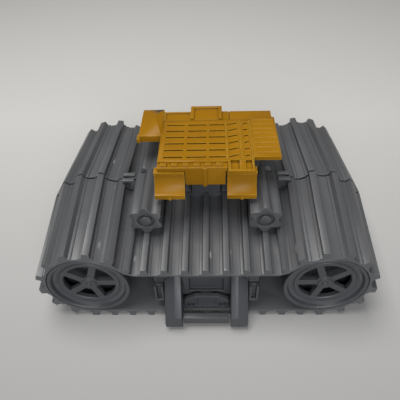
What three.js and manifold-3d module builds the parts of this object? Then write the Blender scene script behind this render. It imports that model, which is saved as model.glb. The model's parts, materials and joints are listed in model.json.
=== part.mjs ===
// Tracked tank chassis: two corrugated belts, four spoked wheels, four star rollers and an upper hull.
// Millimetres. +X is the direction of travel, +Y points to the far side, +Z is up.
// The origin is on the ground, under the middle of the wheelbase and of the seam between the belts.
import * as THREE from 'three';
import { mergeVertices } from 'three/addons/utils/BufferGeometryUtils.js';
import Module from 'manifold-3d';

const wasm = await Module();
wasm.setup();

// Driving dimensions.
const WHEELBASE = 120;
const WHEEL_X = WHEELBASE / 2;
const WHEEL_Z = 26.2;              // axle height: lug tips touch z = 0
const BAND_R = 21.9;               // middle of the belt's band round a wheel
const BAND_T = 1;
const LUG_TIP = WHEEL_Z - BAND_R;  // lug tip above the middle of the band
const LUG_COUNT = 38;
const MIDDLE_Z = 35.5;             // the sunken upper run between the wheels
const SLOPE = Math.PI / 4;         // angle at which the belt leaves a wheel
const BEND_R = 7;                  // inner corner between slope and middle run
const CROWN = 1.2;                 // extra wheel radius at the seam
const CROWN_OUT = CROWN * (1 + Math.SQRT2);  // keeps the slope on one plane
const SEAM = 0.75;                 // belt edge at the seam, from the middle plane
const BELT_EDGE = 56.8;            // outer belt edge, from the middle plane
const GAP = 0.3;                   // air between neighbouring pieces
const RUN = 0.15;                  // radial air between a shaft and its bore

const RIM_R = 21;
const AXLE_R = 2.5;
const ROLLER_X = 30.6;
const ROLLER_Z = 49.2;
const ROLLER_TIP = 9.1;
const ROLLER_VALLEY = 6.6;
const ROLLER_END = 32.4;
const ROLLER_AXLE_R = 1.5;
const TIE_R = 3;
const TIE_X = 16;
const TIE_Z = 22;
const WEB_T = 0.9;
const DECK_Z = 75.5;

const GREY = { color: 0x6a6c70, roughness: 0.5, metalness: 0.0 };
const DARK_GREY = { color: 0x5c5e62, roughness: 0.55, metalness: 0.0 };
const GOLD = { color: 0xc08a18, roughness: 0.38, metalness: 0.1 };

const vec = (x, y) => new THREE.Vector2(x, y);

// Solids ------------------------------------------------------------------------------------------

// Turns a closed three.js geometry into a manifold, without normals, texture coordinates or slivers.
function solid(geometry) {
  const bare = geometry.clone();
  bare.deleteAttribute('normal');
  bare.deleteAttribute('uv');
  const merged = mergeVertices(bare, 1e-4);
  const triangles = [];
  for (let i = 0; i < merged.index.count; i += 3) {
    const [a, b, c] = [0, 1, 2].map((k) => merged.index.getX(i + k));
    if (a !== b && b !== c && c !== a) triangles.push(a, b, c);
  }
  return new wasm.Manifold(new wasm.Mesh({
    numProp: 3,
    vertProperties: new Float32Array(merged.attributes.position.array),
    triVerts: new Uint32Array(triangles),
  }));
}

function part(name, body, look) {
  const mesh = body.getMesh();
  const geometry = new THREE.BufferGeometry();
  geometry.setAttribute('position', new THREE.BufferAttribute(mesh.vertProperties, 3));
  geometry.setIndex(new THREE.BufferAttribute(mesh.triVerts, 1));
  geometry.computeVertexNormals();
  const result = new THREE.Mesh(geometry, new THREE.MeshStandardMaterial(look));
  result.name = name;
  return result;
}

const join = (bodies) => bodies.reduce((sum, body) => sum.add(body));
const cut = (body, tools) => tools.reduce((rest, tool) => rest.subtract(tool), body);

function box([x0, x1], [y0, y1], [z0, z1]) {
  const geometry = new THREE.BoxGeometry(x1 - x0, y1 - y0, z1 - z0);
  return solid(geometry.translate((x0 + x1) / 2, (y0 + y1) / 2, (z0 + z1) / 2));
}

function rod(x, z, radius, [y0, y1], sides = 16) {
  const geometry = new THREE.CylinderGeometry(radius, radius, y1 - y0, sides);
  return solid(geometry.translate(x, (y0 + y1) / 2, z));
}

// A profile in X and Z, extruded along Y.
function plate(points, [y0, y1]) {
  const geometry = new THREE.ExtrudeGeometry(new THREE.Shape(points), {
    depth: y1 - y0, bevelEnabled: false, curveSegments: 12,
  });
  return solid(geometry.rotateX(Math.PI / 2).translate(0, y1, 0));
}

// A profile in Y and Z, extruded along X.
function beam(points, [x0, x1]) {
  const geometry = new THREE.ExtrudeGeometry(new THREE.Shape(points), {
    depth: x1 - x0, bevelEnabled: false, curveSegments: 12,
  });
  const turn = new THREE.Matrix4().makeBasis(
    new THREE.Vector3(0, 1, 0), new THREE.Vector3(0, 0, 1), new THREE.Vector3(1, 0, 0));
  return solid(geometry.applyMatrix4(turn).translate(x0, 0, 0));
}

// A closed profile of [radius, y] pairs, turned about an axis along Y through x, z.
function turned(x, z, profile, sides) {
  const points = profile.map(([radius, y]) => vec(radius, y));
  if (THREE.ShapeUtils.area(points) < 0) points.reverse();
  points.push(points[0].clone());
  return solid(new THREE.LatheGeometry(points, sides).translate(x, 0, z));
}

// The belts ---------------------------------------------------------------------------------------

// Right half of the loop, from the middle of the lower run to the middle of the upper one.
function half_loop(crown_out, crown) {
  const centre = vec(WHEEL_X + crown_out, WHEEL_Z + crown);
  const radius = BAND_R + crown;
  const off = Math.PI / 2 + SLOPE;
  const leave = vec(centre.x + radius * Math.cos(off), centre.y + radius * Math.sin(off));
  const corner = leave.x - (leave.y - MIDDLE_Z) / Math.tan(SLOPE);
  const bend_x = corner - BEND_R * Math.tan(SLOPE / 2);
  const path = new THREE.Path();
  path.moveTo(0, centre.y - radius);
  path.lineTo(centre.x, centre.y - radius);
  path.absarc(centre.x, centre.y, radius, -Math.PI / 2, off, false);
  path.absarc(bend_x, MIDDLE_Z + BEND_R, BEND_R, SLOPE - Math.PI / 2, -Math.PI / 2, true);
  path.lineTo(0, MIDDLE_Z);
  return path;
}

// Point at `steps` lug pitches round the whole loop, `height` out from the middle of the band.
function loop_point(path, steps, height) {
  const turn = ((steps / LUG_COUNT) % 1 + 1) % 1;
  const mirrored = turn > 0.5;
  const along = 2 * (mirrored ? 1 - turn : turn);
  const point = path.getPointAt(along);
  const tangent = path.getTangentAt(along);
  const x = point.x + tangent.y * height;
  const z = point.y - tangent.x * height;
  return vec(mirrored ? -x : x, z);
}

// Half of a stepped lug: [distance along the band, height above the middle of the band].
const LUG_HALF = [[3.3, BAND_T / 2], [3.1, 1.1], [1.9, 1.3], [1.4, LUG_TIP]];

function lugged_outline(path) {
  const pitch = 2 * path.getLength() / LUG_COUNT;
  const rising = LUG_HALF.map(([along, height]) => [-along, height]);
  const profile = [...rising, ...LUG_HALF.slice().reverse()];
  const outline = [];
  for (let lug = 0; lug < LUG_COUNT; lug += 1) {
    for (const [along, height] of profile) {
      outline.push(loop_point(path, lug + along / pitch, height));
    }
  }
  return outline;
}

function inner_outline(path) {
  const outline = [];
  for (let step = 0; step < 2 * LUG_COUNT; step += 1) {
    outline.push(loop_point(path, step / 2, -BAND_T / 2));
  }
  return outline.reverse();
}

// Straight ruled walls between matching outlines at two places along Y, closed by two end faces.
function ruled_ring(near, far, near_y, far_y) {
  const outer_count = near.outer.length;
  const near_ring = [...near.outer, ...near.inner];
  const far_ring = [...far.outer, ...far.inner];
  const count = near_ring.length;
  const positions = [];
  for (const point of near_ring) positions.push(point.x, near_y, point.y);
  for (const point of far_ring) positions.push(point.x, far_y, point.y);
  const index = [];
  for (const [a, b, c] of THREE.ShapeUtils.triangulateShape(near.outer, [near.inner])) {
    index.push(a, b, c, count + a, count + c, count + b);
  }
  const wall = (start, length) => {
    for (let i = 0; i < length; i += 1) {
      const a = start + i;
      const b = start + (i + 1) % length;
      index.push(a, count + a, b, b, count + a, count + b);
    }
  };
  wall(0, outer_count);
  wall(outer_count, count - outer_count);
  const geometry = new THREE.BufferGeometry();
  geometry.setAttribute('position', new THREE.Float32BufferAttribute(positions, 3));
  geometry.setIndex(index);
  return geometry;
}

function belt() {
  const edge = half_loop(0, 0);
  const seam = half_loop(CROWN_OUT, CROWN);
  return solid(ruled_ring(
    { outer: lugged_outline(edge), inner: inner_outline(edge) },
    { outer: lugged_outline(seam), inner: inner_outline(seam) },
    -BELT_EDGE, -SEAM,
  ));
}

// Wheels and rollers, all built for the near side -------------------------------------------------

const RIM_FACE = -BELT_EDGE;        // flush with the belt's edge
const RIM_BACK = RIM_FACE + 2.4;
const RING = [RIM_BACK + GAP, RIM_BACK + GAP + 1.3];
const CUP_R = BAND_R - BAND_T / 2 - 0.5;
const CUP_BACK = -44;               // floor of the cup: deep, so the wheel reads as open
const AXLE_END = 2 - CUP_BACK;      // the axle runs just through the cup's floor
const HUB_R = 4.7;

function spoked_wheel(x, first_spoke) {
  const open_r = 0.65 * RIM_R;
  const rim = turned(x, WHEEL_Z, [
    [open_r, RIM_BACK], [RIM_R, RIM_BACK], [RIM_R, RIM_FACE + 0.4], [RIM_R - 0.4, RIM_FACE],
    [RIM_R - 2, RIM_FACE], [RIM_R - 2.9, RIM_FACE + 0.9], [open_r, RIM_FACE + 1.2],
  ], 30);
  const spoke_y = [RIM_FACE + 1.1, RIM_BACK];
  const spokes = [];
  for (let i = 0; i < 5; i += 1) {
    const spoke = new THREE.BoxGeometry(open_r + 1 - HUB_R / 2, spoke_y[1] - spoke_y[0], 4.1);
    spoke.translate((open_r + 1 + HUB_R / 2) / 2, (spoke_y[0] + spoke_y[1]) / 2, 0);
    spoke.rotateY(-first_spoke - i * 2 * Math.PI / 5).translate(x, 0, WHEEL_Z);
    spokes.push(solid(spoke));
  }
  const hub = turned(x, WHEEL_Z, [
    [0, RIM_BACK], [HUB_R, RIM_BACK], [HUB_R, RIM_FACE + 0.9], [HUB_R - 0.7, RIM_FACE + 0.5],
    [0, RIM_FACE + 0.5],
  ], 16);
  return join([rim, hub, ...spokes]);
}

// Toothed flange behind the rim, with a cup behind it that carries the belt's outer edge.
function sprocket_ring(x) {
  const teeth = 44;
  const outline = [];
  for (let i = 0; i < 2 * teeth; i += 1) {
    const angle = (Math.PI * i) / teeth;
    const radius = i % 2 ? RIM_R + 0.05 : RIM_R - 0.7;
    outline.push(vec(x + radius * Math.cos(angle), WHEEL_Z + radius * Math.sin(angle)));
  }
  const wall = [CUP_R - 1.8, CUP_R];
  const cup = turned(x, WHEEL_Z, [
    [AXLE_R + RUN, CUP_BACK], [wall[1], CUP_BACK], [wall[1], RING[1]], [wall[0], RING[1]],
    [wall[0], CUP_BACK - 1.3], [AXLE_R + RUN, CUP_BACK - 1.3],
  ], 24);
  const opening = rod(x, WHEEL_Z, wall[0], [RING[0] - 1, RING[1] + 1], 24);
  return plate(outline, [RING[0], RING[1] + 0.1]).subtract(opening).add(cup);
}

// A flange beside the seam on a long tube: it carries the belt's inner edge.
function wheel_spool(x) {
  const bore = AXLE_R + RUN;
  return turned(x, WHEEL_Z, [
    [bore, -2], [CUP_R, -2], [CUP_R, -8], [5, -8], [5, CUP_BACK + GAP], [bore, CUP_BACK + GAP],
  ], 24);
}

function star_roller(x, turn) {
  const lobes = 6;
  const steps = 6 * lobes;
  const outline = [];
  for (let i = 0; i < steps; i += 1) {
    const angle = (2 * Math.PI * i) / steps;
    const wave = Math.cos(lobes * (angle - turn));
    const radius = (ROLLER_TIP + ROLLER_VALLEY) / 2 + wave * (ROLLER_TIP - ROLLER_VALLEY) / 2;
    outline.push(vec(x + radius * Math.cos(angle), ROLLER_Z + radius * Math.sin(angle)));
  }
  const body = plate(outline, [-ROLLER_END, -SEAM]);
  const recess = rod(x, ROLLER_Z, 4.6, [-ROLLER_END - 1, -ROLLER_END + 1.2]);
  const boss = rod(x, ROLLER_Z, 2.8, [-ROLLER_END - 0.2, -ROLLER_END + 2]);
  const bore = rod(x, ROLLER_Z, ROLLER_AXLE_R + RUN, [-ROLLER_END + 3, 0]);
  return body.subtract(recess).add(boss).subtract(bore);
}

// Frame pieces inside and beside the belts --------------------------------------------------------

const WEB_Y = [-WEB_T / 2, WEB_T / 2];
const STRUT_X = [40.2, 46.9];
const STRUT_Z = [50.2, 51.7];
const STRUT_Y = [1.2, 3.6];

function centre_web() {
  const half = [1, -1].flatMap((side) => [
    rod(side * WHEEL_X, WHEEL_Z, 6, WEB_Y),
    rod(side * ROLLER_X, ROLLER_Z, 4.5, WEB_Y),
    plate([vec(side * 14, 24), vec(side * 24, 24), vec(side * 34, ROLLER_Z), vec(side * 27, ROLLER_Z)],
      WEB_Y),
    plate([vec(side * 28, ROLLER_Z), vec(side * STRUT_X[1], STRUT_Z[0] - 1.4),
      vec(side * STRUT_X[1], STRUT_Z[0] - 0.2), vec(side * 28, ROLLER_Z + 2.5)], WEB_Y),
  ]);
  const bar = box([-WHEEL_X, WHEEL_X], WEB_Y, [WHEEL_Z - 4.5, WHEEL_Z + 4.5]);
  const tie_plate = box([-24, 24], WEB_Y, [15, 29]);
  const pylon = box([-8, 8], WEB_Y, [WHEEL_Z, HULL_CORE_Z[0] - GAP]);
  const bores = [1, -1].flatMap((side) => [
    rod(side * WHEEL_X, WHEEL_Z, AXLE_R + RUN, [-5, 5]),
    rod(side * ROLLER_X, ROLLER_Z, ROLLER_AXLE_R + RUN, [-5, 5]),
    rod(side * TIE_X, TIE_Z, TIE_R + RUN, [-5, 5]),
  ]);
  return cut(join([bar, tie_plate, pylon, ...half]), bores);
}

const BEAM_Y = [-51.5, -46];
const POST_X = [12.3, 21.6];
const POST_END = 66;
const POST_RISE = 1.5;
const POST_START = 52.5;

// Longitudinal beam inside the loop, with seats for the posts and a bracket outside each post.
function side_beam() {
  const body = box([-27, 27], BEAM_Y, [12, 28.4]);
  const window = box([-9, 9], [BEAM_Y[0] - 1, BEAM_Y[0] + 1.6], [15.5, 26]);
  const extras = [1, -1].flatMap((side) => {
    const span = (a, b) => [Math.min(side * a, side * b), Math.max(side * a, side * b)];
    const bracket = beam([vec(-55.6, 12), vec(-51, 10.5), vec(-51, 24), vec(-55.6, 24)], span(22.2, 27));
    const pocket = box(span(23.4, 25.8), [-56, -53.5], [13.5, 25]);
    const seat = box(span(...POST_X), [-POST_START + GAP, BEAM_Y[0] + 3], [19, 31]);
    return [seat, bracket.subtract(pocket)];
  });
  return join([body.subtract(window), ...extras]);
}

// Steep post with a ridge on top and a wide chamfer on its outer side.
function side_post(side) {
  const [inner, outer] = POST_X;
  const section = [vec(inner, 3), vec(inner + 0.4, 10.6), vec(inner + 3.9, 11.2),
    vec(outer, 6.5), vec(outer, 3)];
  const points = section.map((point) => vec(side * point.x, point.y));
  const geometry = new THREE.ExtrudeGeometry(new THREE.Shape(points), {
    depth: POST_END - POST_START, bevelEnabled: false,
  });
  geometry.rotateX(Math.PI / 2).translate(0, -POST_START, 0);
  const shear = new THREE.Matrix4().set(
    1, 0, 0, 0,
    0, 1, 0, 0,
    0, POST_RISE, 1, POST_RISE * POST_END,
    0, 0, 0, 1,
  );
  return solid(geometry.applyMatrix4(shear));
}

const ROAD_X = 8.5;
const ROAD_R = 3.3;
const ROAD_HOLE_R = 2.3;
const LOWER_RUN_Z = WHEEL_Z - BAND_R + BAND_T / 2;  // upper face of the lower run
const ROAD_Z = LOWER_RUN_Z + GAP + ROAD_R;
const ARCH_Y = [-55.4, -53.2];

function arch_beam() {
  const low = ROAD_Z - ROAD_HOLE_R - 0.5;
  const shape = [vec(-11.6, low), vec(11.6, low), vec(11.6, 12.4),
    vec(6, 15.9), vec(-6, 15.9), vec(-11.6, 12.4)];
  const recess = [-1, 1].map(
    (side) => rod(side * ROAD_X, ROAD_Z, ROAD_HOLE_R, [ARCH_Y[0] - 1, ARCH_Y[0] + 1.2]));
  const middle = plate([vec(-5.2, 7.4), vec(5.2, 7.4), vec(5.2, 13.6), vec(-5.2, 13.6)],
    [ARCH_Y[0] - 1, ARCH_Y[0] + 0.8]);
  const pins = [-1, 1].map((side) => rod(side * ROAD_X, ROAD_Z, 0.85, [ARCH_Y[1] - 0.5, -49.8], 12));
  const tongue = box([-3, 3], [ARCH_Y[1] - 0.5, BEAM_Y[0] - GAP], [12.5, 15.5]);
  return join([cut(plate(shape, ARCH_Y), [...recess, middle]), ...pins, tongue]);
}

function road_wheel(x) {
  return turned(x, ROAD_Z, [
    [1, -49.9], [ROAD_R, -49.9], [ROAD_R, ARCH_Y[1] + GAP], [1, ARCH_Y[1] + GAP],
  ], 14);
}

// The hull ----------------------------------------------------------------------------------------

const HULL_CORE_Z = [61.5, DECK_Z - 3.3];
const DECK_X = [-23.6, 24.4];
const DECK_Y = [-17.2, 19.6];

function hull_core() {
  const [low, high] = HULL_CORE_Z;
  return beam([vec(-15.5, high), vec(-15.5, 66), vec(-12, low), vec(12, low), vec(17.5, 66), vec(17.5, high)],
    [-20, 20]);
}

// Grille of three slot columns, two columns of slanted louvres, and a cell box at the right front.
function deck() {
  const slab = box(DECK_X, DECK_Y, [DECK_Z - 3, DECK_Z]);
  const row_y = [0, 1, 2, 3, 4, 5].map((i) => 14.8 - 5.7 * i);
  const slots = row_y.flatMap((y) => [[-21, -11], [-9.4, 0.8], [2.1, 10.5]].map(
    (span) => box(span, [y - 0.6, y + 0.6], [DECK_Z - 0.8, DECK_Z + 1])));
  const louvres = row_y.flatMap((y) => [[12, 17.4], [20.2, 22.8]].map((span) => {
    const blade = new THREE.BoxGeometry(span[1] - span[0], 1.1, 2);
    return solid(blade.rotateZ(0.32).translate((span[0] + span[1]) / 2, y + 0.8, DECK_Z + 0.3));
  }));
  const ribs = [[11, 11.6], [18.1, 19.3], [23.6, 24.4]].map(
    (span) => box(span, [-16, 18.5], [DECK_Z - 0.5, DECK_Z + 0.5]));
  const front = box([11.6, DECK_X[1]], [-24.2, DECK_Y[0] + 0.5], [DECK_Z - 3, DECK_Z - 0.4]);
  const cells = [[12.8, 17.2], [20.2, 23.4]].map(
    (span) => box(span, [-23, -16], [DECK_Z - 1.6, DECK_Z + 1]));
  return join([cut(slab.add(front), [...slots, ...louvres, ...cells]), ...ribs]);
}

// Low ledge in front of the grille, with a row of raised blocks and the ribbed front panel.
function front_panel() {
  const ledge = box([DECK_X[0], 11.3], [-21.4, DECK_Y[0] - GAP], [DECK_Z - 3, DECK_Z - 0.7]);
  const face = box([-9.8, 10.3], [-21.4, -20.2], [63.8, DECK_Z - 2]);
  const rib = box([-1, 1.1], [-22.1, -20.5], [63.2, DECK_Z - 0.7]);
  const blocks = [0, 1, 2, 3, 4, 5].map((i) => box(
    [-22 + 5.5 * i, -18.8 + 5.5 * i], [-20.6, -18.2], [DECK_Z - 1, DECK_Z + 0.4]));
  return join([ledge, face, rib, ...blocks]);
}

// Curved apron in front of a roller: it hangs from the ledge down to a thick lip with a moulding nub.
function fender(span, top_y, top_z) {
  const curve = new THREE.SplineCurve([
    vec(top_y, top_z - 2.4), vec(top_y - 0.7, 66.8), vec(top_y - 2, 63.8), vec(-25.1, 61.2)]).getPoints(8);
  const lip = [vec(top_y - 1, top_z), vec(top_y - 1, top_z - 1.4)];
  const section = [vec(top_y + 3.4, top_z), ...lip, ...curve,
    vec(-26.2, 61), vec(-26.2, 58.4), vec(-23.2, 58.4), vec(-21.2, 62), vec(-20.2, 66)];
  const nub = rod((span[0] + span[1]) / 2, 59.2, 0.9, [-26.9, -26], 10);
  return beam(section, span).add(nub);
}

function side_wing() {
  const slab = box([DECK_X[1] + GAP, 38.2], [-14, 21.8], [DECK_Z - 2.2, DECK_Z]);
  const grooves = [0, 1, 2, 3, 4, 5, 6, 7].map((i) => {
    const groove = new THREE.BoxGeometry(11, 0.6, 1.6);
    return solid(groove.rotateX(0.5).translate(31.6, -10.6 + 4.2 * i, DECK_Z + 0.5));
  });
  return cut(slab, grooves);
}

function rear_strip() {
  const slab = box([-23.4, 37.2], [22.1, 30.4], [DECK_Z - 4, DECK_Z - 1.2]);
  const neck = box([-23.4, 24.4], [DECK_Y[1] + GAP, 23], [DECK_Z - 4, DECK_Z - 1.2]);
  const line = box([13.2, 13.9], [19, 31], [DECK_Z - 1.7, DECK_Z]);
  const recess = box([-22.4, -9], [22.6, 29.2], [DECK_Z - 2, DECK_Z]);
  return cut(slab.add(neck), [line, recess]);
}

// Raised frame on the rear strip: two posts and a top bar over an open middle.
function rear_frame() {
  const outer = box([-8.2, 9.4], [DECK_Y[1] + 0.6, 32.6], [DECK_Z - 0.9, DECK_Z + 1.1]);
  const inner = box([-6.2, 7.4], [DECK_Y[1], 30.6], [DECK_Z, DECK_Z + 2]);
  return outer.subtract(inner);
}

// Box on the left rear corner: a low four-sided roof whose ridges meet off centre, and a lip below.
function corner_box() {
  const low = DECK_Z - 6;
  const eaves = DECK_Z - 2.2;
  const rise = 2.8;
  const [x0, x1, y0, y1] = [-36.2, DECK_X[0] - GAP, 8.2, 34.6];
  const body = box([x0, x1], [y0, y1], [low, eaves]);
  const roof = new THREE.ConeGeometry(Math.SQRT1_2, 1, 4).rotateX(Math.PI / 2).rotateZ(Math.PI / 4);
  const lean = new THREE.Matrix4().set(
    x1 - x0, 0, 1.5, (x0 + x1) / 2 + 0.75,
    0, y1 - y0, 3, (y0 + y1) / 2 + 1.5,
    0, 0, rise, eaves + rise / 2 - 0.01,
    0, 0, 0, 1,
  );
  const lip = box([x0 - 1.1, x0 + 0.5], [y0 - 1, y0 + 3], [low, low + 2.6]);
  return join([body, solid(roof.applyMatrix4(lean)), lip]);
}

// Assembly ----------------------------------------------------------------------------------------

const chassis = new THREE.Group();
chassis.name = 'tracked_tank_chassis';

// Every piece of one side is built on the near side; the far side is the same set turned about Z.
function add_side(prefix, half_turn) {
  const place = (name, body, look) => {
    const mesh = part(name, body, look);
    if (half_turn) mesh.geometry.rotateZ(Math.PI);
    chassis.add(mesh);
  };
  const direction = half_turn ? -1 : 1;
  place(`${prefix}_belt`, belt(), GREY);
  place(`${prefix}_side_beam`, side_beam(), DARK_GREY);
  place(`${prefix}_arch_beam`, arch_beam(), DARK_GREY);
  const bar_end = POST_X[0] - GAP;
  place(`${prefix}_cross_bar`, box([-bar_end, bar_end], [-64.4, -61.1], [4, 9.2]), DARK_GREY);
  for (const side of [-1, 1]) {
    const end = side * direction < 0 ? 'left' : 'right';
    const first_spoke = side < 0 ? 1.27 : 1.9;
    const roller_turn = half_turn ? 0 : Math.PI / 6;
    place(`${prefix}_${end}_wheel`, spoked_wheel(side * WHEEL_X, first_spoke), DARK_GREY);
    place(`${prefix}_${end}_sprocket_ring`, sprocket_ring(side * WHEEL_X), DARK_GREY);
    place(`${prefix}_${end}_wheel_spool`, wheel_spool(side * WHEEL_X), DARK_GREY);
    place(`${prefix}_${end}_star_roller`, star_roller(side * ROLLER_X, roller_turn), GREY);
    place(`${prefix}_${end}_road_wheel`, road_wheel(side * ROAD_X), DARK_GREY);
    place(`${prefix}_${end}_post`, side_post(side), DARK_GREY);
    place(`${prefix}_${end}_strut`, box(side < 0 ? [-STRUT_X[1], -STRUT_X[0]] : STRUT_X,
      [-STRUT_Y[1], -STRUT_Y[0]], STRUT_Z), GREY);
  }
}

function add(name, body, look) {
  chassis.add(part(name, body, look));
}

add_side('near', false);
add_side('far', true);
add('centre_web', centre_web(), DARK_GREY);
for (const side of [-1, 1]) {
  const end = side < 0 ? 'left' : 'right';
  const roller_axle_end = ROLLER_END - 3 - GAP;
  add(`${end}_wheel_axle`, rod(side * WHEEL_X, WHEEL_Z, AXLE_R, [-AXLE_END, AXLE_END]), DARK_GREY);
  add(`${end}_roller_axle`,
    rod(side * ROLLER_X, ROLLER_Z, ROLLER_AXLE_R, [-roller_axle_end, roller_axle_end]), DARK_GREY);
  add(`${end}_tie_rod`, rod(side * TIE_X, TIE_Z, TIE_R, [BEAM_Y[1] + GAP, -BEAM_Y[1] - GAP]), DARK_GREY);
}
add('hull_core', hull_core(), GOLD);
add('hull_deck', deck(), GOLD);
add('hull_front_panel', front_panel(), GOLD);
add('hull_left_fender', fender([-25.4, -10.2], -20.9, DECK_Z - 3.3), GOLD);
add('hull_right_fender', fender([11.2, 25.8], -20.9, DECK_Z - 3.3), GOLD);
add('hull_side_wing', side_wing(), GOLD);
add('hull_rear_strip', rear_strip(), GOLD);
add('hull_rear_frame', rear_frame(), GOLD);
add('hull_corner_box', corner_box(), GOLD);

export default chassis;
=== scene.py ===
import json
import math

import bmesh
import bpy
from mathutils import Matrix, Vector

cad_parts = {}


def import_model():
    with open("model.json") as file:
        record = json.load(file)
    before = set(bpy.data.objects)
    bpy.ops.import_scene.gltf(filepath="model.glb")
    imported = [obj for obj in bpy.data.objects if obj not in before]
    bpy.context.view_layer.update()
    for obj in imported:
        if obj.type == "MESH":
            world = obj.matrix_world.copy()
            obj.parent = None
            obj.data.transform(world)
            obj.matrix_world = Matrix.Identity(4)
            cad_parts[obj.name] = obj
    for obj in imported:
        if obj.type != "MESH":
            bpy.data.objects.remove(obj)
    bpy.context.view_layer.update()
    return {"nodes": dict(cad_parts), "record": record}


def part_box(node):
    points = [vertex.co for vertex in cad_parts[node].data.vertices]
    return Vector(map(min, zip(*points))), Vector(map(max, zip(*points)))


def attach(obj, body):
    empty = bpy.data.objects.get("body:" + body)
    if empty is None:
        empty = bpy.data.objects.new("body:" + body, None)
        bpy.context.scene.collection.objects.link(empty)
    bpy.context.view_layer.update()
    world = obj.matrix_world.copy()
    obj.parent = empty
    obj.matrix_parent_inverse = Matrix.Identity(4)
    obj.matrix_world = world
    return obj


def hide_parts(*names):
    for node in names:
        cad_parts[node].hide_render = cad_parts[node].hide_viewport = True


# Looks for the tracked chassis: moulded grey belts, wheels and rollers, and a gold upper hull.
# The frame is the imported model's, in metres: +X travel, +Y away, +Z up. Sizes in millimetres say so.

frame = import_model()
MM = 0.001


# Materials ---------------------------------------------------------------------------------------

class Nodes:
    """Short calls for building one material's node tree."""

    def __init__(self, name):
        self.material = bpy.data.materials.new(name)
        self.material.use_nodes = True
        self.tree = self.material.node_tree
        self.shader = self.tree.nodes["Principled BSDF"]

    def link(self, source, target):
        self.tree.links.new(source, target)

    def new(self, kind, **settings):
        node = self.tree.nodes.new(kind)
        for key, value in settings.items():
            setattr(node, key, value)
        return node

    def position(self, stretch=(1, 1, 1)):
        mapping = self.new("ShaderNodeMapping")
        mapping.inputs["Scale"].default_value = stretch
        self.link(self.new("ShaderNodeTexCoord").outputs["Object"], mapping.inputs["Vector"])
        return mapping.outputs["Vector"]

    def noise(self, scale, detail=3.0, stretch=(1, 1, 1)):
        node = self.new("ShaderNodeTexNoise")
        node.inputs["Scale"].default_value = scale
        node.inputs["Detail"].default_value = detail
        self.link(self.position(stretch), node.inputs["Vector"])
        return node.outputs["Fac"]

    def ramp(self, value, low, high, out_low=0.0, out_high=1.0):
        node = self.new("ShaderNodeMapRange")
        limits = {"From Min": low, "From Max": high, "To Min": out_low, "To Max": out_high}
        for key, number in limits.items():
            node.inputs[key].default_value = number
        self.link(value, node.inputs["Value"])
        return node.outputs["Result"]

    def edges(self, radius_mm, strength):
        """The strength where the surface turns within the radius, for a rubbed edge with a painted
        highlight, and 0 elsewhere.
        """
        rounded = self.new("ShaderNodeBevel", samples=4)
        rounded.inputs["Radius"].default_value = radius_mm * MM
        facing = self.new("ShaderNodeVectorMath", operation="DOT_PRODUCT")
        self.link(rounded.outputs["Normal"], facing.inputs[0])
        self.link(self.new("ShaderNodeNewGeometry").outputs["Normal"], facing.inputs[1])
        return self.ramp(facing.outputs["Value"], 0.99, 0.80, 0.0, strength)

    def openness(self, reach_mm):
        """1 on exposed faces, and down to 0 where walls within the reach enclose the surface."""
        sky = self.new("ShaderNodeAmbientOcclusion", samples=8, only_local=True)
        sky.inputs["Distance"].default_value = reach_mm * MM
        return self.ramp(sky.outputs["AO"], 0.45, 0.9)

    def multiply(self, a, b):
        node = self.new("ShaderNodeMath", operation="MULTIPLY")
        self.link(a, node.inputs[0])
        self.link(b, node.inputs[1])
        return node.outputs[0]

    def mix(self, factor, a, b):
        node = self.new("ShaderNodeMix", data_type="RGBA")
        self.link(factor, node.inputs["Factor"])
        for socket, value in ((node.inputs["A"], a), (node.inputs["B"], b)):
            if isinstance(value, tuple):
                socket.default_value = (*value, 1.0)
            else:
                self.link(value, socket)
        return node.outputs["Result"]


GROOVE_SHADE_REACH = 2.0      # millimetres: walls nearer than this add painted shade to the plastic between them
GROOVE_SHADE_TONE = 0.42      # painted shade in a groove, as a share of the base colour
WEAR_AND_HIGHLIGHT_WIDTH = 0.35       # millimetres along an edge of rubbed plastic and painted highlight


def moulded_plastic(name, base, light, wear_and_highlight, roughness, specular, edge_wear_and_highlight, scuffs):
    """Satin moulded plastic: colour drift, painted shade in grooves, rubbed edges with a painted highlight,
    rare scuffs, grain and sink marks.
    """
    m = Nodes(name)
    drift = m.ramp(m.noise(35, 2), 0.3, 0.7)
    colour = m.mix(drift, base, light)
    # Painted shade: grooves, slots and corners that nearby walls enclose are darkened to a share of the base
    # colour.
    exposed = m.openness(GROOVE_SHADE_REACH)
    colour = m.mix(exposed, tuple(GROOVE_SHADE_TONE * channel for channel in base), colour)
    patchy = m.multiply(exposed, m.ramp(m.noise(300, 2), 0.35, 0.65, 0.35, 1.0))
    # Rubbed edges and painted highlight: sharply turning edges are lightened towards the lighter edge
    # colour.
    colour = m.mix(m.multiply(m.edges(WEAR_AND_HIGHLIGHT_WIDTH, edge_wear_and_highlight), patchy), colour, wear_and_highlight)
    scratch = m.ramp(m.noise(520, 1, (1, 0.15, 1)), 0.7, 0.75)
    region = m.ramp(m.noise(40, 1), 0.58, 0.68, 0.0, scuffs)
    colour = m.mix(m.multiply(scratch, region), colour, wear_and_highlight)
    m.link(colour, m.shader.inputs["Base Color"])
    uneven = m.ramp(m.noise(90, 2), 0.3, 0.7, roughness - 0.04, roughness + 0.05)
    m.link(uneven, m.shader.inputs["Roughness"])
    m.shader.inputs["Specular IOR Level"].default_value = specular
    grain = m.new("ShaderNodeBump")
    grain.inputs["Strength"].default_value = 0.15
    grain.inputs["Distance"].default_value = 0.03 * MM
    m.link(m.noise(2400, 2), grain.inputs["Height"])
    sink = m.new("ShaderNodeBump")
    sink.inputs["Strength"].default_value = 0.25
    sink.inputs["Distance"].default_value = 0.15 * MM
    m.link(m.noise(70, 1), sink.inputs["Height"])
    m.link(grain.outputs["Normal"], sink.inputs["Normal"])
    m.link(sink.outputs["Normal"], m.shader.inputs["Normal"])
    return m.material


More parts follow.
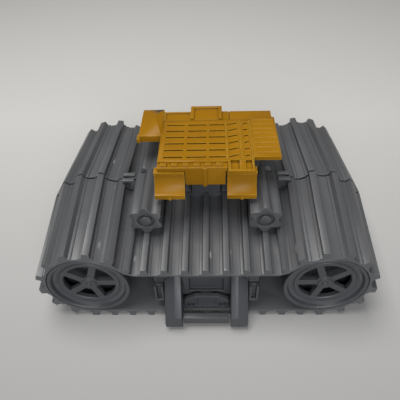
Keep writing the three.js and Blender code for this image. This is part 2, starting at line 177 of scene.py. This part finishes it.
GREY = moulded_plastic(
    "grey_moulded", base=(0.072, 0.074, 0.078), light=(0.084, 0.086, 0.090), wear_and_highlight=(0.26, 0.27, 0.28),
    roughness=0.38, specular=0.45, edge_wear_and_highlight=0.35, scuffs=0.8)
DARK = moulded_plastic(
    "dark_grey_moulded", base=(0.044, 0.047, 0.052), light=(0.053, 0.056, 0.061), wear_and_highlight=(0.15, 0.16, 0.17),
    roughness=0.42, specular=0.40, edge_wear_and_highlight=0.45, scuffs=0.4)
# On the gold parts the edge colour is mostly a painted highlight, with some rubbing.
GOLD = moulded_plastic(
    "gold_moulded", base=(0.235, 0.106, 0.002), light=(0.270, 0.126, 0.003), wear_and_highlight=(0.80, 0.52, 0.08),
    roughness=0.38, specular=0.15, edge_wear_and_highlight=1.0, scuffs=0.3)

MATERIAL_OF_SLOT = {"grey_plastic": GREY, "dark_grey_plastic": DARK, "gold_plastic": GOLD}
slot_of = {row["node"]: row["material_slot"] for row in frame["record"]["subparts"]}
body_of = {node: body for body, nodes in frame["record"]["behaviour"]["bodies"].items() for node in nodes}


# Pieces ------------------------------------------------------------------------------------------

def finish_piece(mesh, node, name):
    """Wraps a finished mesh as the piece that stands for a CAD node, with that node's body and finish."""
    piece = bpy.data.objects.new(name, mesh)
    bpy.context.scene.collection.objects.link(piece)
    mesh.materials.clear()
    mesh.materials.append(MATERIAL_OF_SLOT[slot_of[node]])
    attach(piece, body_of[node])
    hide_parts(node)
    return piece


def round_edges(piece, radius_mm, segments=2, angle=28):
    bevel = piece.modifiers.new("edges", "BEVEL")
    bevel.width = radius_mm * MM
    bevel.segments = segments
    bevel.limit_method = "ANGLE"
    bevel.angle_limit = math.radians(angle)
    bevel.harden_normals = True


def rounded_copy(node, radius_mm):
    """The node's own shape with its flat faces merged and its edges rounded, as moulded plastic has them."""
    mesh = frame["nodes"][node].data.copy()
    work = bmesh.new()
    work.from_mesh(mesh)
    bmesh.ops.remove_doubles(work, verts=work.verts, dist=0.002 * MM)
    bmesh.ops.dissolve_limit(work, angle_limit=math.radians(1), verts=work.verts, edges=work.edges)
    for face in work.faces:
        face.smooth = True
    work.to_mesh(mesh)
    work.free()
    round_edges(finish_piece(mesh, node, "moulded_" + node), radius_mm)


def add_lathe(work, profile, segments=96):
    """Closed profile of (radius, depth) pairs turned about the Y axis into one ring of faces."""
    rings = []
    for i in range(segments):
        turn = 2 * math.pi * i / segments
        rings.append([work.verts.new((r * math.cos(turn), y, r * math.sin(turn))) for r, y in profile])
    for i, ring in enumerate(rings):
        following = rings[(i + 1) % segments]
        for k in range(len(profile)):
            nxt = (k + 1) % len(profile)
            work.faces.new([ring[k], ring[nxt], following[nxt], following[k]])


def add_spoke(work, turn, inner, outer, half_width, front, back):
    """A straight spoke with a wide draft: narrower in front than at the back."""
    corners = []
    for y, half in ((front, half_width), (back, half_width * 1.12)):
        for along, across in ((inner, -half), (outer, -half), (outer, half), (inner, half)):
            x = along * math.cos(turn) - across * math.sin(turn)
            z = along * math.sin(turn) + across * math.cos(turn)
            corners.append(work.verts.new((x, y, z)))
    for face in ((0, 1, 2, 3), (7, 6, 5, 4), (0, 4, 5, 1), (1, 5, 6, 2), (2, 6, 7, 3), (3, 7, 4, 0)):
        work.faces.new([corners[i] for i in face])


def add_ejector_mark(work, turn, radius, front):
    """A low ring left by a moulding pin."""
    start = len(work.verts)
    add_lathe(work, [(0.35, front + 0.1), (0.35, front - 0.12), (0.6, front - 0.12), (0.6, front + 0.1)], 20)
    work.verts.ensure_lookup_table()
    shift = Vector((radius * math.cos(turn), 0, radius * math.sin(turn)))
    for vert in work.verts[start:]:
        vert.co += shift


# A wheel's sizes in millimetres. Depths run inwards from the rim's outer face.
SPOKES = 5
SPOKE_HALF_WIDTH = 1.75
HUB_RADIUS = 4.7
LIP_WIDTH = 2.1
OPENING = 0.63          # outer end of the openings, as a share of the rim's radius
RIM_DEPTH = 2.4
SPOKE_FACE = 2.6
SPOKE_BACK = 4.8
WHEEL_BACK = 5.0
WHEEL_EDGE = 0.2        # radius of its rounded edges


def rim_profile(radius, opening):
    """Flat lip, wall of the dish, sloping floor, and a low bead round the openings."""
    lip = radius - LIP_WIDTH
    return [
        (radius, RIM_DEPTH), (radius, 0.35), (radius - 0.35, 0), (lip + 0.4, 0), (lip, 0.4),
        (lip - 0.4, 1.9), (lip - 1.2, RIM_DEPTH), (opening + 2.6, 2.7), (opening + 2.2, 2.2),
        (opening + 0.5, 2.3), (opening, 2.7), (opening, WHEEL_BACK), (opening + 4.0, WHEEL_BACK),
        (opening + 4.0, RIM_DEPTH)]


def hub_profile():
    """A stepped hub with a small pin end in its middle."""
    return [
        (0.01, 0.9), (1.3, 0.9), (1.6, 1.6), (HUB_RADIUS - 1.2, 1.6), (HUB_RADIUS - 0.9, 2.3),
        (HUB_RADIUS - 0.3, 2.4), (HUB_RADIUS, 2.8), (HUB_RADIUS, WHEEL_BACK), (0.01, WHEEL_BACK)]


def spoked_wheel(node, first_spoke):
    """Outer lip, stepped dish, recessed spokes and a raised hub, in millimetres until they are placed."""
    low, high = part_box(node)
    near = low[1] < 0
    radius = (high[2] - low[2]) / 2 / MM
    opening = OPENING * radius
    work = bmesh.new()
    add_lathe(work, rim_profile(radius, opening))
    add_lathe(work, hub_profile())
    for i in range(SPOKES):
        turn = first_spoke + i * 2 * math.pi / SPOKES
        add_spoke(work, turn, HUB_RADIUS - 1.5, opening + 0.8, SPOKE_HALF_WIDTH, SPOKE_FACE, SPOKE_BACK)
        add_ejector_mark(work, turn, opening - 1.4, SPOKE_FACE)
    side = 1 if near else -1
    face = low[1] if near else high[1]
    centre = Vector(((low[0] + high[0]) / 2, face, (low[2] + high[2]) / 2))
    for vert in work.verts:
        x, y, z = vert.co * MM
        vert.co = centre + Vector((side * x, side * y, z))
    bmesh.ops.recalc_face_normals(work, faces=work.faces)
    for part_face in work.faces:
        part_face.smooth = True
    mesh = bpy.data.meshes.new("cast_" + node)
    work.to_mesh(mesh)
    work.free()
    round_edges(finish_piece(mesh, node, "cast_" + node), WHEEL_EDGE)


# Edge radius in millimetres, by a word in the node's name.
EDGE_RADIUS = {
    "belt": 0.3, "sprocket_ring": 0.1, "wheel_spool": 0.2, "star_roller": 0.35,
    "post": 0.45, "strut": 0.25, "axle": 0.2,
    "hull_deck": 0.16, "hull_side_wing": 0.12, "hull_rear_frame": 0.3,
}
OTHER_EDGE_RADIUS = 0.25
# Turn of each wheel's first spoke at rest, in radians.
FIRST_SPOKE = {"near_left": 1.27, "near_right": 1.9, "far_left": 1.9, "far_right": 1.27}

for node in sorted(frame["nodes"]):
    if node.endswith("_wheel") and "road" not in node:
        spoked_wheel(node, FIRST_SPOKE[node.removesuffix("_wheel")])
    else:
        fitting = [radius for word, radius in EDGE_RADIUS.items() if word in node]
        rounded_copy(node, fitting[0] if fitting else OTHER_EDGE_RADIUS)


# Floor, light and camera -------------------------------------------------------------------------

def floor():
    """A round sweep of pale paper, with painted shade making it darker towards the camera, that curves up
    all round the object.
    """
    flat, bend, height = 1.1, 0.5, 2.4
    flat_steps, bend_steps, segments = 6, 12, 96
    arc = [math.pi / 2 * i / bend_steps for i in range(1, bend_steps + 1)]
    profile = [(flat * i / flat_steps, 0.0) for i in range(1, flat_steps + 1)]
    profile += [(flat + bend * math.sin(a), bend - bend * math.cos(a)) for a in arc]
    profile.append((flat + bend, height))
    mesh = bpy.data.meshes.new("floor")
    work = bmesh.new()
    rings = []
    for radius, z in profile:
        turns = [2 * math.pi * i / segments for i in range(segments)]
        rings.append([work.verts.new((radius * math.cos(t), radius * math.sin(t), z)) for t in turns])
    work.faces.new(rings[0])
    for inner, outer in zip(rings, rings[1:]):
        for i in range(segments):
            k = (i + 1) % segments
            work.faces.new([inner[i], outer[i], outer[k], inner[k]]).smooth = True
    work.to_mesh(mesh)
    work.free()
    m = Nodes("floor_paper")
    away = m.new("ShaderNodeSeparateXYZ")
    m.link(m.position(), away.inputs["Vector"])
    # Painted shade: the floor's colour darkens towards the camera.
    paper = m.mix(m.ramp(away.outputs["Y"], -0.16, 0.14), (0.225, 0.224, 0.227), (0.52, 0.515, 0.50))
    m.link(m.mix(m.ramp(m.noise(3, 2), 0.3, 0.7, 0.0, 0.06), paper, (0.57, 0.56, 0.54)),
           m.shader.inputs["Base Color"])
    m.shader.inputs["Roughness"].default_value = 0.85
    mesh.materials.append(m.material)
    piece = bpy.data.objects.new("floor", mesh)
    bpy.context.scene.collection.objects.link(piece)


def area_light(name, place, target, size, power, colour):
    data = bpy.data.lights.new(name, "AREA")
    data.shape = "RECTANGLE"
    data.size, data.size_y = size
    data.energy = power
    data.color = colour
    lamp = bpy.data.objects.new(name, data)
    bpy.context.scene.collection.objects.link(lamp)
    lamp.location = place
    lamp.rotation_euler = (Vector(target) - Vector(place)).to_track_quat("-Z", "Y").to_euler()


def camera():
    """Looks at the chassis from its side and above, as a hand-held phone a little off level."""
    azimuth, elevation, roll = math.radians(2.4), math.radians(43.5), math.radians(-2.2)
    target = Vector((-2.65, -26.8, 58.35)) * MM
    distance = 214.2 * MM
    back = Vector((math.sin(azimuth) * math.cos(elevation), -math.cos(azimuth) * math.cos(elevation),
                   math.sin(elevation)))
    right = Vector((0, 0, 1)).cross(back).normalized()
    up = back.cross(right)
    right, up = (right * math.cos(roll) + up * math.sin(roll), up * math.cos(roll) - right * math.sin(roll))
    data = bpy.data.cameras.new("camera")
    data.lens = 38.2        # millimetres, on the default 36 mm sensor
    data.clip_start = 0.01
    view = bpy.data.objects.new("camera", data)
    bpy.context.scene.collection.objects.link(view)
    rotation = Matrix((right, up, back)).transposed().to_4x4()
    view.matrix_world = Matrix.Translation(target + back * distance) @ rotation
    bpy.context.scene.camera = view


def world():
    scene_world = bpy.data.worlds.new("studio")
    scene_world.use_nodes = True
    background = scene_world.node_tree.nodes["Background"]
    background.inputs["Color"].default_value = (0.95, 0.97, 1.0, 1.0)
    background.inputs["Strength"].default_value = 0.16
    bpy.context.scene.world = scene_world


floor()
world()
ORIGIN = (0, 0, 0)
area_light("window", (-0.16, 0.0, 0.95), ORIGIN, size=(0.7, 0.5), power=9.6, colour=(1.0, 0.985, 0.96))
area_light("room", (0.05, -0.68, 0.42), ORIGIN, size=(0.5, 0.4), power=4.6, colour=(0.97, 0.98, 1.0))
camera()
bpy.context.scene.view_settings.view_transform = "Standard"
